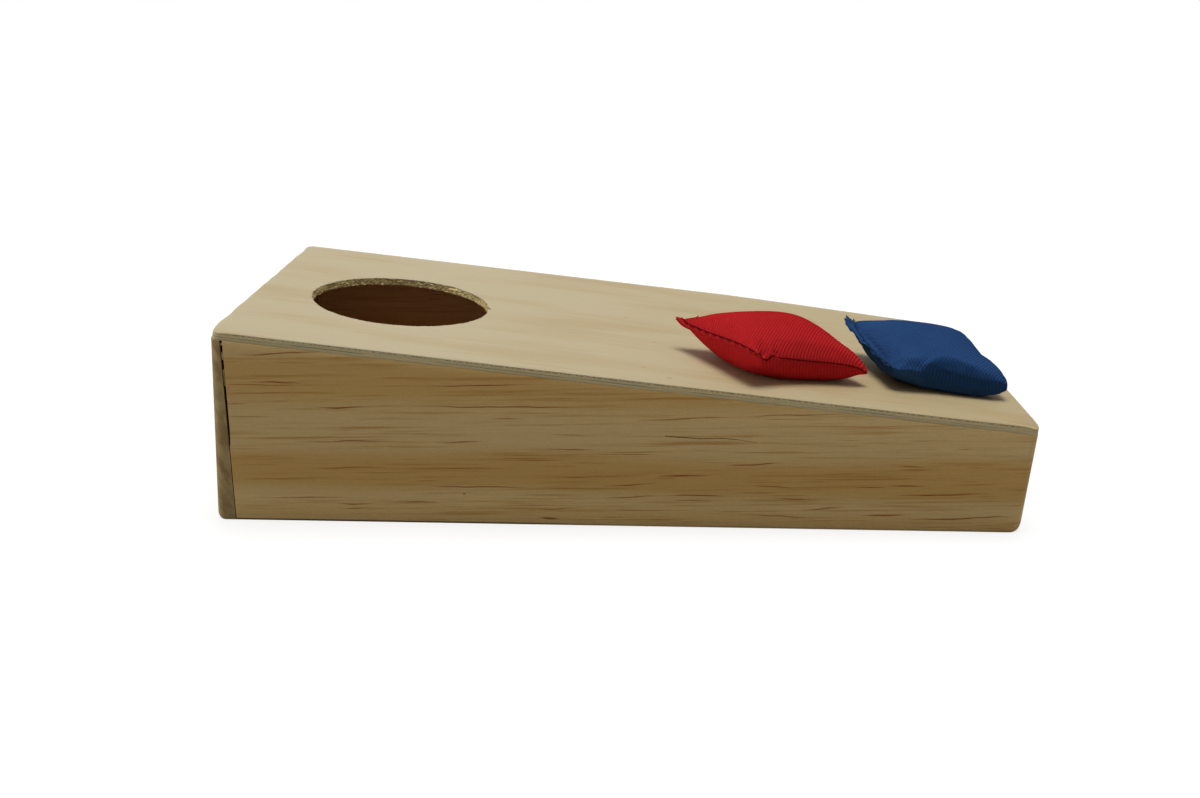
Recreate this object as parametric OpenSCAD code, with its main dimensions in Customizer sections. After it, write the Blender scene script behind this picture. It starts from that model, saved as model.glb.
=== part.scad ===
// A tabletop cornhole game: a small sloping wooden box with a round hole, and two bean bags on its deck.
// Millimetres. X runs from the tall end to the low end, Y away from the front, Z up.
// The origin is on the table, under the middle of the box.

/* [Box] */
// Length over everything, from the foot of the tall end to the deck's low edge
box_l = 305; // [270:1:380]
// Width over the side boards
box_w = 148; // [135:1:200]
// Height of the deck's top at the tall end
tall_h = 74; // [62:0.5:95]
// Height of the deck's top at the low end
low_h = 41.5; // [34:0.5:54]
// Lean of both ends away from upright, in degrees, top towards the low end
end_lean = 3; // [0:0.5:6]
// Radius sanded on the four upright corners
corner_r = 3.5; // [1:0.5:6]
// Radius sanded under the tall end
tall_foot_r = 3.5; // [1:0.5:6]
// Radius sanded under the low end
low_foot_r = 5; // [1:0.5:8]

/* [Boards] */
// Thickness of the two side boards
side_t = 6.4; // [5:0.1:9]
// Thickness of the low end board
low_end_t = 6.4; // [5:0.1:9]
// Thickness of the tall end board at its foot, before it is sanded to the lean
tall_end_t = 7.8; // [6.5:0.1:10]
// Width of the open glue joint beside the tall end board, at its top
joint_gap = 0.6; // [0.1:0.1:1.5]
// Height below which that joint is closed
joint_closed_h = 30; // [10:1:45]

/* [Deck] */
// Thickness of the plywood's face veneer
face_t = 0.45; // [0.3:0.05:0.9]
// Thickness of the plywood's core veneer
core_t = 1.9; // [1.2:0.1:3]
// Thickness of the plywood's back veneer
back_t = 0.65; // [0.3:0.05:0.9]

/* [Hole] */
// Diameter of the hole
hole_d = 72; // [64:1:78]
// Distance of the hole's centre from the deck's tall edge, along the slope
hole_from_tall_end = 57.5; // [50:0.5:66]
// How far the hole sits off the centre line, towards the front
hole_off_centre = 3; // [0:0.5:6]

/* [Bean bags] */
// Side of a bag, corner to corner
bag_side = 50; // [44:0.5:54]
// Thickness of the cloth
cloth_t = 0.6; // [0.4:0.1:1]
// Width of the sewn seam inside the bag's edge
seam_w = 0.8; // [0.5:0.1:1.5]
// Gap between the two layers of cloth in a seam
seam_gap = 0.1; // [0.05:0.05:0.2]
// How far the sides with the closing thread draw in at their middle
closing_draw = 0.5; // [0:0.5:2]
// Gap between a bag and the deck
rest_gap = 0.3; // [0.2:0.05:0.5]
// Roundness of the crown: smaller is boxier
crown_power = 0.5; // [0.4:0.05:0.8]
// Diameter of a pellet in the filling, a short cylinder
pellet_d = 5; // [4:0.5:6.5]
// Length of a pellet
pellet_l = 4.5; // [3.5:0.5:6]
// Gap round a pellet
pellet_gap = 0.3; // [0.25:0.05:0.5]
// Diameter of the closing thread
thread_d = 0.6; // [0.4:0.1:0.8]
// Length of a stitch on top
stitch_l = 2.2; // [1.5:0.1:4]
// Gap between stitches on top
stitch_gap = 1.2; // [0.8:0.1:2]
// Clear space between the two bags
bag_gap = 1.8; // [1:0.1:8]

/* [Red bag] */
// Distance of the red bag's centre from the deck's front edge
red_from_front = 38; // [36:0.5:60]
// Turn of the red bag on the deck, in degrees
red_turn = 20; // [10:1:30]
// How far its corners are pushed out of square, in degrees
red_skew = 12.5; // [0:0.5:15]
// Height of its seam over the deck at the front corner
red_lift_front = 12; // [4:0.5:16]
// Height of its seam at the left corner
red_lift_left = 11; // [4:0.5:16]
// Height of its seam at the back corner
red_lift_back = 13.5; // [4:0.5:16]
// Height of its seam at the right corner
red_lift_right = 6; // [4:0.5:16]
// Height of its crown above the seam
red_crown = 9; // [6:0.5:12]
// Depth of its belly below the seam, before the deck stops it
red_belly = 14; // [9:0.5:18]
// How far its other sides draw in at their middle
red_draw = 3.5; // [0:0.5:5]
// Width of the flat hem at its closing thread
red_flange = 1.4; // [1.2:0.1:4]

/* [Blue bag] */
// Distance of the blue bag's centre from the deck's low edge, along the slope
blue_from_low_end = 33; // [31:0.5:44]
// Distance of the blue bag's centre from the deck's front edge
blue_from_front = 50.5; // [40:0.5:70]
// Turn of the blue bag on the deck, in degrees
blue_turn = 2; // [-5:1:10]
// How far its corners are pushed out of square, in degrees
blue_skew = 10; // [0:0.5:15]
// Height of its seam over the deck at the front corner
blue_lift_front = 7; // [4:0.5:16]
// Height of its seam at the left corner
blue_lift_left = 12.5; // [4:0.5:16]
// Height of its seam at the back corner
blue_lift_back = 13; // [4:0.5:16]
// Height of its seam at the right corner
blue_lift_right = 5; // [4:0.5:16]
// Height of its crown above the seam
blue_crown = 7; // [6:0.5:12]
// Depth of its belly below the seam, before the deck stops it
blue_belly = 10.5; // [9:0.5:18]
// How far its other sides draw in at their middle
blue_draw = 0.5; // [0:0.5:5]
// Width of the ruffled hem at its closing thread
blue_flange = 3; // [1.2:0.1:5]

/* [Hidden] */

// How far a cutting or trimming shape reaches past the wood
reach = 20;
// Segments in a sanded corner
corner_steps = 8;
// Facets of the hole
hole_fn = 120;
// Facets of a pellet
pellet_fn = 24;
// Grid lines of a bag's panel from its middle to its seam
panel_steps = 6;
// Sides of the closing thread
thread_sides = 6;
// Share of the bag's half side along which the closing thread runs
thread_share = 0.94;

// The slope, and the box's outline seen from above in the leaning direction
deck_t = face_t + core_t + back_t;
tall_edge_x = -box_l / 2 + tall_h * tan(end_lean);
low_edge_x = box_l / 2;
slope = atan((tall_h - low_h) / (low_edge_x - tall_edge_x));
deck_l = (low_edge_x - tall_edge_x) / cos(slope);
foot_l = box_l - low_h * tan(end_lean);
plan_l = foot_l * cos(end_lean);
joint_x = -box_l / 2 + tall_end_t;

// Height of the deck's underside at a place along the box
function under_deck(x) = tall_h - (x - tall_edge_x) * tan(slope) - deck_t / cos(slope);

function unit(v) = v / norm(v);

// The arc that rounds corner p, met from a and left for b
function rounded_corner(a, p, b, r) =
    let (
        u = unit(a - p),
        v = unit(b - p),
        half_angle = acos(u * v) / 2,
        centre = p + unit(u + v) * r / sin(half_angle),
        start = p + u * r / tan(half_angle) - centre,
        turn = (cross(u, v) > 0 ? -1 : 1) * (180 - 2 * half_angle),
        first = atan2(start[1], start[0])
    )
    [for (i = [0:corner_steps])
        centre + r * [cos(first + turn * i / corner_steps), sin(first + turn * i / corner_steps)]];

function rounded_outline(points, r) =
    let (n = len(points))
    [for (i = [0:n - 1])
        each rounded_corner(points[(i + n - 1) % n], points[i], points[(i + 1) % n], r)];

// Stands a drawing in X and Z up, across the box from y0 over a width w
module across(y0, w)
    translate([0, y0 + w, 0]) rotate([90, 0, 0]) linear_extrude(height = w) children();

// Puts children into the deck's own frame: X down the slope from the tall edge, Z square to the deck
module on_deck()
    translate([tall_edge_x, 0, tall_h]) rotate([0, slope, 0]) children();

// The box's outline with sanded upright corners, run up and down along the lean
module leaning_block()
    translate([-box_l / 2, 0, 0]) rotate([0, end_lean, 0]) translate([0, 0, -reach])
        linear_extrude(height = tall_h + 2 * reach)
            polygon(rounded_outline(
                [[0, -box_w / 2], [plan_l, -box_w / 2], [plan_l, box_w / 2], [0, box_w / 2]], corner_r));

// What is sanded away under an end whose foot is at p; side is -1 at the tall end, 1 at the low end
module foot_cutter(p, side, r) {
    up_the_end = p + [sin(end_lean), cos(end_lean)] * reach;
    along_the_floor = p - [side * reach, 0];
    arc = rounded_corner(along_the_floor, p, up_the_end, r);
    past = side * reach;
    across(-box_w, 2 * box_w)
        polygon(concat(arc, [arc[corner_steps] + [past, 0], [p[0] + past, -reach], [arc[0][0], -reach]]));
}

// A board cut from the block by its own drawing in X and Z
module board(outline, y0, w)
    difference() {
        intersection() {
            leaning_block();
            across(y0, w) polygon(outline);
        }
        foot_cutter([-box_l / 2, 0], -1, tall_foot_r);
        foot_cutter([-box_l / 2 + foot_l, 0], 1, low_foot_r);
    }

module side_board(y0) {
    far_x = box_l / 2 + reach;
    gap_x = joint_x + joint_gap;
    board([
        [joint_x, 0], [far_x, 0], [far_x, under_deck(far_x)],
        [gap_x, under_deck(gap_x)], [joint_x, joint_closed_h],
    ], y0, side_t);
}

// One layer of the plywood, whose top lies a depth below the deck's top
module ply(depth, t)
    difference() {
        intersection() {
            leaning_block();
            on_deck() translate([-reach, -box_w, -depth - t])
                cube([deck_l + 2 * reach, 2 * box_w, t]);
        }
        on_deck() translate([hole_from_tall_end, -hole_off_centre, -deck_t - reach])
            cylinder(d = hole_d, h = deck_t + 2 * reach, $fn = hole_fn);
    }

module deck_face_veneer() { color("wheat") ply(0, face_t); }
module deck_core_veneer() { color("darkkhaki") ply(face_t, core_t); }
module deck_back_veneer() { color("burlywood") ply(face_t + core_t, back_t); }
module front_side_board() { color("tan") side_board(-box_w / 2); }
module back_side_board() { color("tan") side_board(box_w / 2 - side_t); }

module tall_end_board() {
    far_x = -box_l / 2 - reach;
    color("rosybrown")
        board([[far_x, 0], [joint_x, 0], [joint_x, under_deck(joint_x)], [far_x, under_deck(far_x)]],
            -box_w, 2 * box_w);
}

module low_end_board() {
    far_x = box_l / 2 + reach;
    inner_foot = [-box_l / 2 + foot_l - low_end_t / cos(end_lean), 0];
    lean = [sin(end_lean), cos(end_lean)];
    // Where the leaning inner face meets the deck's underside
    inner_top = inner_foot
        + lean * (under_deck(inner_foot[0]) / (lean[1] + lean[0] * tan(slope)));
    color("burlywood")
        board([inner_foot, [far_x, 0], [far_x, under_deck(far_x)], inner_top],
            side_t - box_w / 2, box_w - 2 * side_t);
}

// A bag is a list of what describes it, in the deck's frame, read by the functions below.
// The lifts are those of its front, left, back and right corners.
function bag(centre, turn, skew, lifts, crown, belly, draw, flange) =
    let (half_side = bag_side / 2, other = turn + 90 + skew)
    [
        centre,
        half_side * [cos(turn), sin(turn)],
        half_side * [cos(other), sin(other)],
        lifts, crown, belly, draw / half_side, flange / half_side,
    ];
function centre(b) = b[0];
function side_u(b) = b[1];
function side_v(b) = b[2];
function lifts(b) = b[3];
function crown(b) = b[4];
function belly(b) = b[5];
function draw_v(b) = b[6];
function flange_u(b) = b[7];

// The blue bag is placed from the deck's low edge, and the red one beside the blue one's hem
blue_shape = bag([deck_l - blue_from_low_end, blue_from_front - box_w / 2],
    blue_turn, blue_skew, [blue_lift_front, blue_lift_left, blue_lift_back, blue_lift_right],
    blue_crown, blue_belly, blue_draw, blue_flange);
red_reach = bag_side / 2 * (cos(red_turn) - cos(red_turn + 90 + red_skew));
blue_reach = bag_side / 2 * (cos(blue_turn) + cos(blue_turn + 90 + blue_skew)) + blue_flange;
red_shape = bag([centre(blue_shape)[0] - blue_reach - bag_gap - red_reach, red_from_front - box_w / 2],
    red_turn, red_skew, [red_lift_front, red_lift_left, red_lift_back, red_lift_right],
    red_crown, red_belly, red_draw, red_flange);

function clamp1(t) = max(-1, min(1, t));
function room(t) = max(0, 1 - t * t);

// A point of the seam's surface: u and v run from -1 to 1 between the seams, u past -1 in the hem
function seam_point(b, u, v) =
    let (
        su = u * (1 - closing_draw / (bag_side / 2) * room(v)),
        sv = v * (1 - draw_v(b) * room(u)),
        p = centre(b) + side_u(b) * su + side_v(b) * sv,
        cu = clamp1(u),
        cv = clamp1(v),
        front = lifts(b)[0] * (1 - cu) + lifts(b)[3] * (1 + cu),
        back = lifts(b)[1] * (1 - cu) + lifts(b)[2] * (1 + cu)
    )
    [p[0], p[1], (front * (1 - cv) + back * (1 + cv)) / 4];

// How far the cloth swells at a point, from 0 at the seam to 1 in the middle
function swell(u, v) = pow(room(clamp1(u)) * room(clamp1(v)), crown_power);
inner_share = 1 - seam_w / (bag_side / 2);
function inner_swell(u, v) = swell(u / inner_share, v / inner_share);

// Heights of the cloth over the deck, where the seam's surface is at height h
function top_outside(b, h, u, v) = h + seam_gap / 2 + cloth_t + crown(b) * swell(u, v);
function top_inside(b, h, u, v) = h + seam_gap / 2 + crown(b) * inner_swell(u, v);
function bottom_inside(b, h, u, v) =
    max(h - seam_gap / 2 - belly(b) * inner_swell(u, v), rest_gap + cloth_t);
function bottom_outside(b, h, u, v) =
    max(h - seam_gap / 2 - cloth_t - belly(b) * swell(u, v), rest_gap);

// Grid lines across a panel, closer together towards its seams
grid_v = [
    -1,
    for (i = [-panel_steps:panel_steps]) inner_share * sin(90 * i / panel_steps),
    1,
];
function grid_u(b) = concat([-1 - flange_u(b)], grid_v);

// The grid line at or before t, and how far t lies towards the next one, as a share
function grid_place(t) =
    let (i = max([for (k = [0:len(grid_v) - 2]) if (grid_v[k] <= t) k]))
    [i, (t - grid_v[i]) / (grid_v[i + 1] - grid_v[i])];

// Height inside the bag at a point of the grid
function inside(b, on_top, u, v) =
    let (h = seam_point(b, u, v)[2])
    on_top ? top_inside(b, h, u, v) : bottom_inside(b, h, u, v);

// The same at any point, on the flat facets between the grid's points
function facet_height(b, on_top, u, v) =
    let (
        place_u = grid_place(clamp1(u)),
        place_v = grid_place(clamp1(v)),
        h = [for (i = [0, 1], j = [0, 1])
            inside(b, on_top, grid_v[place_u[0] + i], grid_v[place_v[0] + j])],
        su = place_u[1],
        sv = place_v[1]
    )
    h[0] + (sv > su
        ? sv * (h[1] - h[0]) + su * (h[3] - h[1])
        : su * (h[2] - h[0]) + sv * (h[3] - h[2]));

// A closed sheet between an upper and a lower grid of points, each with rows of equal length
module sheet(upper, lower) {
    rows = len(upper);
    cols = len(upper[0]);
    count = rows * cols;
    points = concat([for (row = upper) each row], [for (row = lower) each row]);
    rim = concat(
        [for (j = [0:cols - 1]) j],
        [for (i = [1:rows - 1]) i * cols + cols - 1],
        [for (j = [cols - 2:-1:0]) (rows - 1) * cols + j],
        [for (i = [rows - 2:-1:1]) i * cols]
    );
    faces = concat(
        [for (i = [0:rows - 2], j = [0:cols - 2])
            let (a = i * cols + j, b = a + 1, c = a + cols, d = c + 1)
            each [[a, b, d], [a, d, c], [count + a, count + d, count + b], [count + a, count + c, count + d]]],
        [for (k = [0:len(rim) - 1])
            let (a = rim[k], b = rim[(k + 1) % len(rim)])
            each [[a, count + a, count + b], [a, count + b, b]]]
    );
    polyhedron(points = points, faces = faces, convexity = 4);
}

module bag_top_panel(b)
    on_deck() sheet(
        [for (u = grid_u(b)) [for (v = grid_v)
            let (p = seam_point(b, u, v)) [p[0], p[1], top_outside(b, p[2], u, v)]]],
        [for (u = grid_u(b)) [for (v = grid_v)
            let (p = seam_point(b, u, v)) [p[0], p[1], top_inside(b, p[2], u, v)]]]);

module bag_bottom_panel(b)
    on_deck() sheet(
        [for (u = grid_u(b)) [for (v = grid_v)
            let (p = seam_point(b, u, v)) [p[0], p[1], bottom_inside(b, p[2], u, v)]]],
        [for (u = grid_u(b)) [for (v = grid_v)
            let (p = seam_point(b, u, v)) [p[0], p[1], bottom_outside(b, p[2], u, v)]]]);

// The closing thread runs over and under the hem, through both layers of cloth
module bag_closing_thread(b) {
    half_side = bag_side / 2;
    u = -1 - flange_u(b) / 2;
    pitch = (stitch_l + stitch_gap) / half_side;
    stitches = floor((2 * thread_share + stitch_gap / half_side) / pitch);
    first = -(stitches * pitch - stitch_gap / half_side) / 2;
    over = seam_gap / 2 + cloth_t + thread_d / 4;
    function at(v, side) = seam_point(b, u, v) + [0, 0, side * over];
    path = [for (i = [0:stitches - 1])
        let (v = first + i * pitch, w = v + stitch_l / half_side)
        each [at(v, -1), at(v, 1), at(w, 1), at(w, -1)]];
    last = len(path) - 1;
    sideways = unit([-side_v(b)[1], side_v(b)[0], 0]);
    rings = [for (i = [0:last])
        let (
            into = unit(path[min(i + 1, last)] - path[min(i, last - 1)]),
            out_of = unit(path[max(i, 1)] - path[max(i - 1, 0)]),
            along = unit(into + out_of),
            spread = 1 / (along * into),
            up = unit(cross(along, sideways))
        )
        [for (k = [0:thread_sides - 1])
            let (a = 360 * k / thread_sides)
            path[i] + thread_d / 2 * (sideways * cos(a) + up * sin(a) * spread)]];
    n = thread_sides;
    on_deck() polyhedron(
        points = [for (ring = rings) each ring],
        faces = concat(
            [[for (k = [0:n - 1]) k]],
            [for (i = [0:last - 1], k = [0:n - 1])
                let (a = i * n + k, b = i * n + (k + 1) % n)
                each [[a, a + n, b + n], [a, b + n, b]]],
            [[for (k = [n - 1:-1:0]) last * n + k]]
        ),
        convexity = 6);
}

// How far u and v change over a step on the deck, where the bag is drawn in most
function grid_step(b, step) =
    let (whole = cross(side_u(b), side_v(b)))
    [
        cross(step, side_v(b)) / whole / (1 - closing_draw / (bag_side / 2)),
        cross(side_u(b), step) / whole / (1 - draw_v(b)),
    ];

// Pellets stand in short columns between the two panels, on a lattice that follows the bag.
// A column reaches over the heights where its whole width is clear of the cloth.
module bag_fill(b) {
    half_side = bag_side / 2;
    step_u = (pellet_d + pellet_gap) / (half_side - closing_draw);
    step_v = (pellet_d + pellet_gap) / (half_side * (1 - draw_v(b)));
    count_u = ceil(1 / step_u);
    count_v = ceil(1 / step_v);
    around = [for (i = [0:pellet_fn - 1])
        let (a = 360 * i / pellet_fn)
        grid_step(b, (pellet_d / 2 + pellet_gap) * [cos(a), sin(a)])];
    on_deck() for (i = [-count_u:count_u], j = [-count_v:count_v]) {
        u = (i + 0.5) * step_u;
        v = (j + 0.5) * step_v;
        p = seam_point(b, u, v);
        lowest = max([for (a = around) facet_height(b, false, u + a[0], v + a[1])]) + pellet_gap;
        highest = min([for (a = around) facet_height(b, true, u + a[0], v + a[1])]) - pellet_gap;
        if (highest - pellet_l >= lowest)
            for (h = [lowest:pellet_l + pellet_gap:highest - pellet_l])
                translate([p[0], p[1], h]) cylinder(d = pellet_d, h = pellet_l, $fn = pellet_fn);
    }
}

module red_bag_top_panel() { color("crimson") bag_top_panel(red_shape); }
module red_bag_bottom_panel() { color("firebrick") bag_bottom_panel(red_shape); }
module red_bag_closing_thread() { color("maroon") bag_closing_thread(red_shape); }
module red_bag_fill() { color("ivory") bag_fill(red_shape); }
module blue_bag_top_panel() { color("royalblue") bag_top_panel(blue_shape); }
module blue_bag_bottom_panel() { color("navy") bag_bottom_panel(blue_shape); }
module blue_bag_closing_thread() { color("midnightblue") bag_closing_thread(blue_shape); }
module blue_bag_fill() { color("ivory") bag_fill(blue_shape); }

deck_face_veneer();
deck_core_veneer();
deck_back_veneer();
front_side_board();
back_side_board();
tall_end_board();
low_end_board();
red_bag_top_panel();
red_bag_bottom_panel();
red_bag_closing_thread();
red_bag_fill();
blue_bag_top_panel();
blue_bag_bottom_panel();
blue_bag_closing_thread();
blue_bag_fill();
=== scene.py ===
import math
from collections import namedtuple
from functools import partial

import bmesh
import bpy
import numpy as np
from mathutils import Matrix, Vector, noise


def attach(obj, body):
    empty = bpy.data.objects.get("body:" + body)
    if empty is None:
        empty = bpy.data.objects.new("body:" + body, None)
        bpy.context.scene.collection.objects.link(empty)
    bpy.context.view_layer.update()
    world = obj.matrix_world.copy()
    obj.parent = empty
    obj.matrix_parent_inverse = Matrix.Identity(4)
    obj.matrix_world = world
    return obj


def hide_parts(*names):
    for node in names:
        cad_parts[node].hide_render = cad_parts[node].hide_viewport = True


# The looks of a tabletop cornhole game: a wedge-shaped wooden box and two bean bags on its deck.
# Sizes are in millimetres, and MM makes them metres. Colours are linear light from 0 to 1.
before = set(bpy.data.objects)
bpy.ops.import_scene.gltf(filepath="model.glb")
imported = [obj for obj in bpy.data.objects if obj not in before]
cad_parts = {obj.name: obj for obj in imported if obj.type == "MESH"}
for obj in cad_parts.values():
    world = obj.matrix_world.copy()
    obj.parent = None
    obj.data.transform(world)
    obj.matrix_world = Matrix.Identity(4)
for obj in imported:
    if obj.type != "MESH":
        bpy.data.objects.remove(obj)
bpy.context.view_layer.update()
MM = 0.001

# The box's driving sizes, the same as the model's
BOX_L = 305.0
BOX_W = 148.0
TALL_H = 74.0
LOW_H = 41.5
END_LEAN = math.radians(3)
CORNER_R = 3.5
TALL_END_T = 7.8
FACE_T = 0.45
CORE_T = 1.9
BACK_T = 0.65
HOLE_R = 36.0
HOLE_S = 57.5
HOLE_Y = -3.0

# What follows from them
TALL_EDGE_X = -BOX_L / 2 + TALL_H * math.tan(END_LEAN)
LOW_EDGE_X = BOX_L / 2
SLOPE = math.atan((TALL_H - LOW_H) / (LOW_EDGE_X - TALL_EDGE_X))
DECK_L = (LOW_EDGE_X - TALL_EDGE_X) / math.cos(SLOPE)
DECK_T = FACE_T + CORE_T + BACK_T
JOINT_X = -BOX_L / 2 + TALL_END_T
FRONT_Y = -BOX_W / 2
LEAN_SHIFT = (math.sin(SLOPE) - math.cos(SLOPE) * math.tan(END_LEAN)) / (
    math.cos(SLOPE) + math.sin(SLOPE) * math.tan(END_LEAN)
)

# The deck's own frame: x runs down the slope from the tall edge, y to the back and z off the deck
DECK_FRAME = Matrix.Translation((TALL_EDGE_X * MM, 0, TALL_H * MM)) @ Matrix.Rotation(SLOPE, 4, "Y")


def new_object(name, data):
    """An object in the scene."""
    made = bpy.data.objects.new(name, data)
    bpy.context.scene.collection.objects.link(made)
    return made


# Materials


class Value:
    """An output of a material's node: a number, vector or colour. Numbers take arithmetic."""

    def __init__(self, shader, socket):
        self.shader = shader
        self.socket = socket

    def math(self, operation, b=0.0, c=0.0):
        return self.shader.value("Math", {0: self, 1: b, 2: c}, operation=operation)

    def __add__(self, other):
        return self.math("ADD", other)

    def __sub__(self, other):
        return self.math("SUBTRACT", other)

    def __mul__(self, other):
        return self.math("MULTIPLY", other)

    def most(self, other):
        """The larger of two numbers."""
        return self.math("MAXIMUM", other)

    def off(self, place):
        """How far a number is from another."""
        return (self - place).math("ABSOLUTE")

    def hypot(self, other):
        return self.math("MULTIPLY_ADD", self, other * other).math("SQRT")

    def ramp(self, low, high):
        """A smooth step from 0 at low to 1 at high."""
        inputs = {"Value": self, "From Min": low, "From Max": high}
        return self.shader.value("MapRange", inputs, "Result", interpolation_type="SMOOTHSTEP")

    def vary(self, low, high):
        """A number from 0 to 1, stretched to run from low to high."""
        return self.math("MULTIPLY_ADD", high - low, low)

    def mix(self, a, b, blend="MIX"):
        """Colour a, going over to colour b as the number goes from 0 to 1."""
        inputs = {0: self, 6: a, 7: b}
        return self.shader.value("Mix", inputs, 2, data_type="RGBA", blend_type=blend)

    def shade(self, colour, low, high):
        """A colour times a factor, which goes from low to high as the number goes from 0 to 1."""
        inputs = {0: colour, "Scale": self.vary(low, high)}
        return self.shader.value("VectorMath", inputs, operation="SCALE")


class Shader:
    """A material's nodes, or the world's. Inputs go by name or place: a Value is linked, the rest is set."""

    def __init__(self, name, world=False):
        self.data = (bpy.data.worlds if world else bpy.data.materials).new(name)
        self.data.use_nodes = True
        self.tree = self.data.node_tree
        self.tree.nodes.clear()
        self.output = self.node("OutputWorld" if world else "OutputMaterial")

    def node(self, kind, inputs=(), **settings):
        made = self.tree.nodes.new("ShaderNode" + kind)
        for key, value in settings.items():
            setattr(made, key, value)
        for key, value in dict(inputs).items():
            socket = made.inputs[key]
            if isinstance(value, Value):
                self.tree.links.new(value.socket, socket)
            else:
                socket.default_value = (*value, 1) if socket.type == "RGBA" else value
        return made

    def value(self, kind, inputs=(), output=0, **settings):
        return Value(self, self.node(kind, inputs, **settings).outputs[output])

    def split(self, vector):
        """The three numbers of a vector."""
        return [Value(self, part) for part in self.node("SeparateXYZ", {0: vector}).outputs]

    def spread(self, sizes, shift=(0, 0, 0), slant=0.0):
        """Object coordinates over sizes in millimetres, so that one grain of noise has those sizes."""
        coords = self.value("TexCoord", output="Object")
        if slant:
            coords = self.value("Mapping", {"Vector": coords, "Rotation": (0, math.radians(slant), 0)})
        scale = [1 / (size * MM) for size in sizes]
        return self.value("Mapping", {"Vector": coords, "Scale": scale, "Location": shift})

    def place(self):
        """Where a point of a piece is, along its x, y and z in millimetres."""
        return self.split(self.spread((1, 1, 1)))

    def grain(self, sizes, detail=2.0, roughness=0.5, shift=(0, 0, 0), slant=0.0):
        """Noise from 0 to 1 with grains of those sizes in millimetres."""
        inputs = {"Vector": self.spread(sizes, shift, slant), "Scale": 1.0}
        return self.value("TexNoise", inputs | {"Detail": detail, "Roughness": roughness}, "Fac")

    def finish(self, shader):
        self.tree.links.new(shader.outputs[0], self.output.inputs["Surface"])
        return self.data

    def surface(self, colour, height, depth, roughness, specular):
        """The finished material, with bumps of a height from 0 to 1 that are depth millimetres deep."""
        normal = self.value("Bump", {"Height": height, "Distance": depth * MM}, "Normal")
        inputs = {"Base Color": colour, "Normal": normal}
        inputs |= {"Roughness": roughness, "Specular IOR Level": specular}
        return self.finish(self.node("BsdfPrincipled", inputs))

    def seen_white(self):
        """1 for what the camera sees straight, in gloss or through glass, and 0 for light on the object."""
        path = self.node("LightPath").outputs
        rays = [Value(self, path[f"Is {kind} Ray"]) for kind in ("Camera", "Glossy", "Transmission")]
        return rays[0].most(rays[1]).most(rays[2])


# Camera, light and floor

# The camera is solved from the box's edges in the photograph, which is 1200 pixels wide
CAMERA_PLACE = (4.6, -512.6, 199.8)
CAMERA_YAW = math.radians(-1.544)
CAMERA_TILT = math.radians(18.814)
CAMERA_ROLL = math.radians(0.327)
FOCAL_PIXELS = 1275.4
PHOTO_PIXELS = 1200
SENSOR = 36.0
NEAREST = 0.01

# Soft lights from above: energy, width, tilt to the back and lean to the side, all three in degrees
SUNS = {"key": (2.2, 33, -7, 3), "fill": (1.0, 30, 0, -80)}
WHITE = (1, 1, 1)
SKY_LOW = 0.05
SKY_RISE = 0.15
FLOOR_HALF = 6.0
FLOOR_COLOUR = (0.50, 0.49, 0.475)
FLOOR_SHADOW = (0.3, 0.3, 0.3)
FLOOR_GLOW = 0.78


def make_camera():
    data = bpy.data.cameras.new("camera")
    data.sensor_width = SENSOR
    data.lens = FOCAL_PIXELS / PHOTO_PIXELS * SENSOR
    data.clip_start = NEAREST
    camera = new_object("camera", data)
    turn = (
        Matrix.Rotation(-CAMERA_YAW, 4, "Z")
        @ Matrix.Rotation(math.pi / 2 - CAMERA_TILT, 4, "X")
        @ Matrix.Rotation(CAMERA_ROLL, 4, "Z")
    )
    camera.matrix_world = Matrix.Translation(Vector(CAMERA_PLACE) * MM) @ turn
    bpy.context.scene.camera = camera


def make_suns():
    for name, (energy, width, tilt, lean) in SUNS.items():
        data = bpy.data.lights.new(name, "SUN")
        data.energy = energy
        data.angle = math.radians(width)
        new_object(name, data).rotation_euler = (math.radians(tilt), math.radians(lean), 0)


def make_world():
    """Soft light from all round, more from above, which the camera sees as white."""
    shader = Shader("studio", world=True)
    up = shader.split(shader.value("TexCoord", output="Generated"))[2]
    sky = up.most(0.0).math("MULTIPLY_ADD", SKY_RISE, SKY_LOW)
    inputs = {"Color": WHITE, "Strength": sky.most(shader.seen_white())}
    bpy.context.scene.world = shader.finish(shader.node("Background", inputs))


def make_floor():
    """A pale floor that shows white, with the box's shadow on it."""
    half = FLOOR_HALF
    mesh = bpy.data.meshes.new("floor")
    corners = [(-half, -half, 0), (half, -half, 0), (half, half, 0), (-half, half, 0)]
    mesh.from_pydata(corners, [], [range(4)])
    shader = Shader("floor")
    plain = shader.value("BsdfDiffuse", {"Color": FLOOR_COLOUR})
    shadowed = shader.value("BsdfDiffuse", {"Color": FLOOR_SHADOW})
    glow = shader.value("Emission", {"Color": WHITE, "Strength": FLOOR_GLOW})
    white = shader.value("AddShader", {0: shadowed, 1: glow})
    both = {0: shader.seen_white(), 1: plain, 2: white}
    mesh.materials.append(shader.finish(shader.node("MixShader", both)))
    new_object("floor", mesh)


# Meshes


def add_piece(name, mesh, body, material, replaces=(), matrix=None):
    """A piece of the object from a mesh in metres."""
    mesh.name = name
    mesh.materials.clear()
    mesh.materials.append(material)
    piece = new_object(name, mesh)
    if matrix is not None:
        piece.matrix_world = matrix
    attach(piece, body)
    if replaces:
        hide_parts(*replaces)
    return piece


def edited(mesh, edit, smooth=True):
    """A mesh after an edit by bmesh, with smooth or flat faces."""
    work = bmesh.new()
    work.from_mesh(mesh)
    edit(work)
    for face in work.faces:
        face.smooth = smooth
    work.to_mesh(mesh)
    work.free()
    return mesh


def turn_outwards(work):
    bmesh.ops.recalc_face_normals(work, faces=work.faces)


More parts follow.
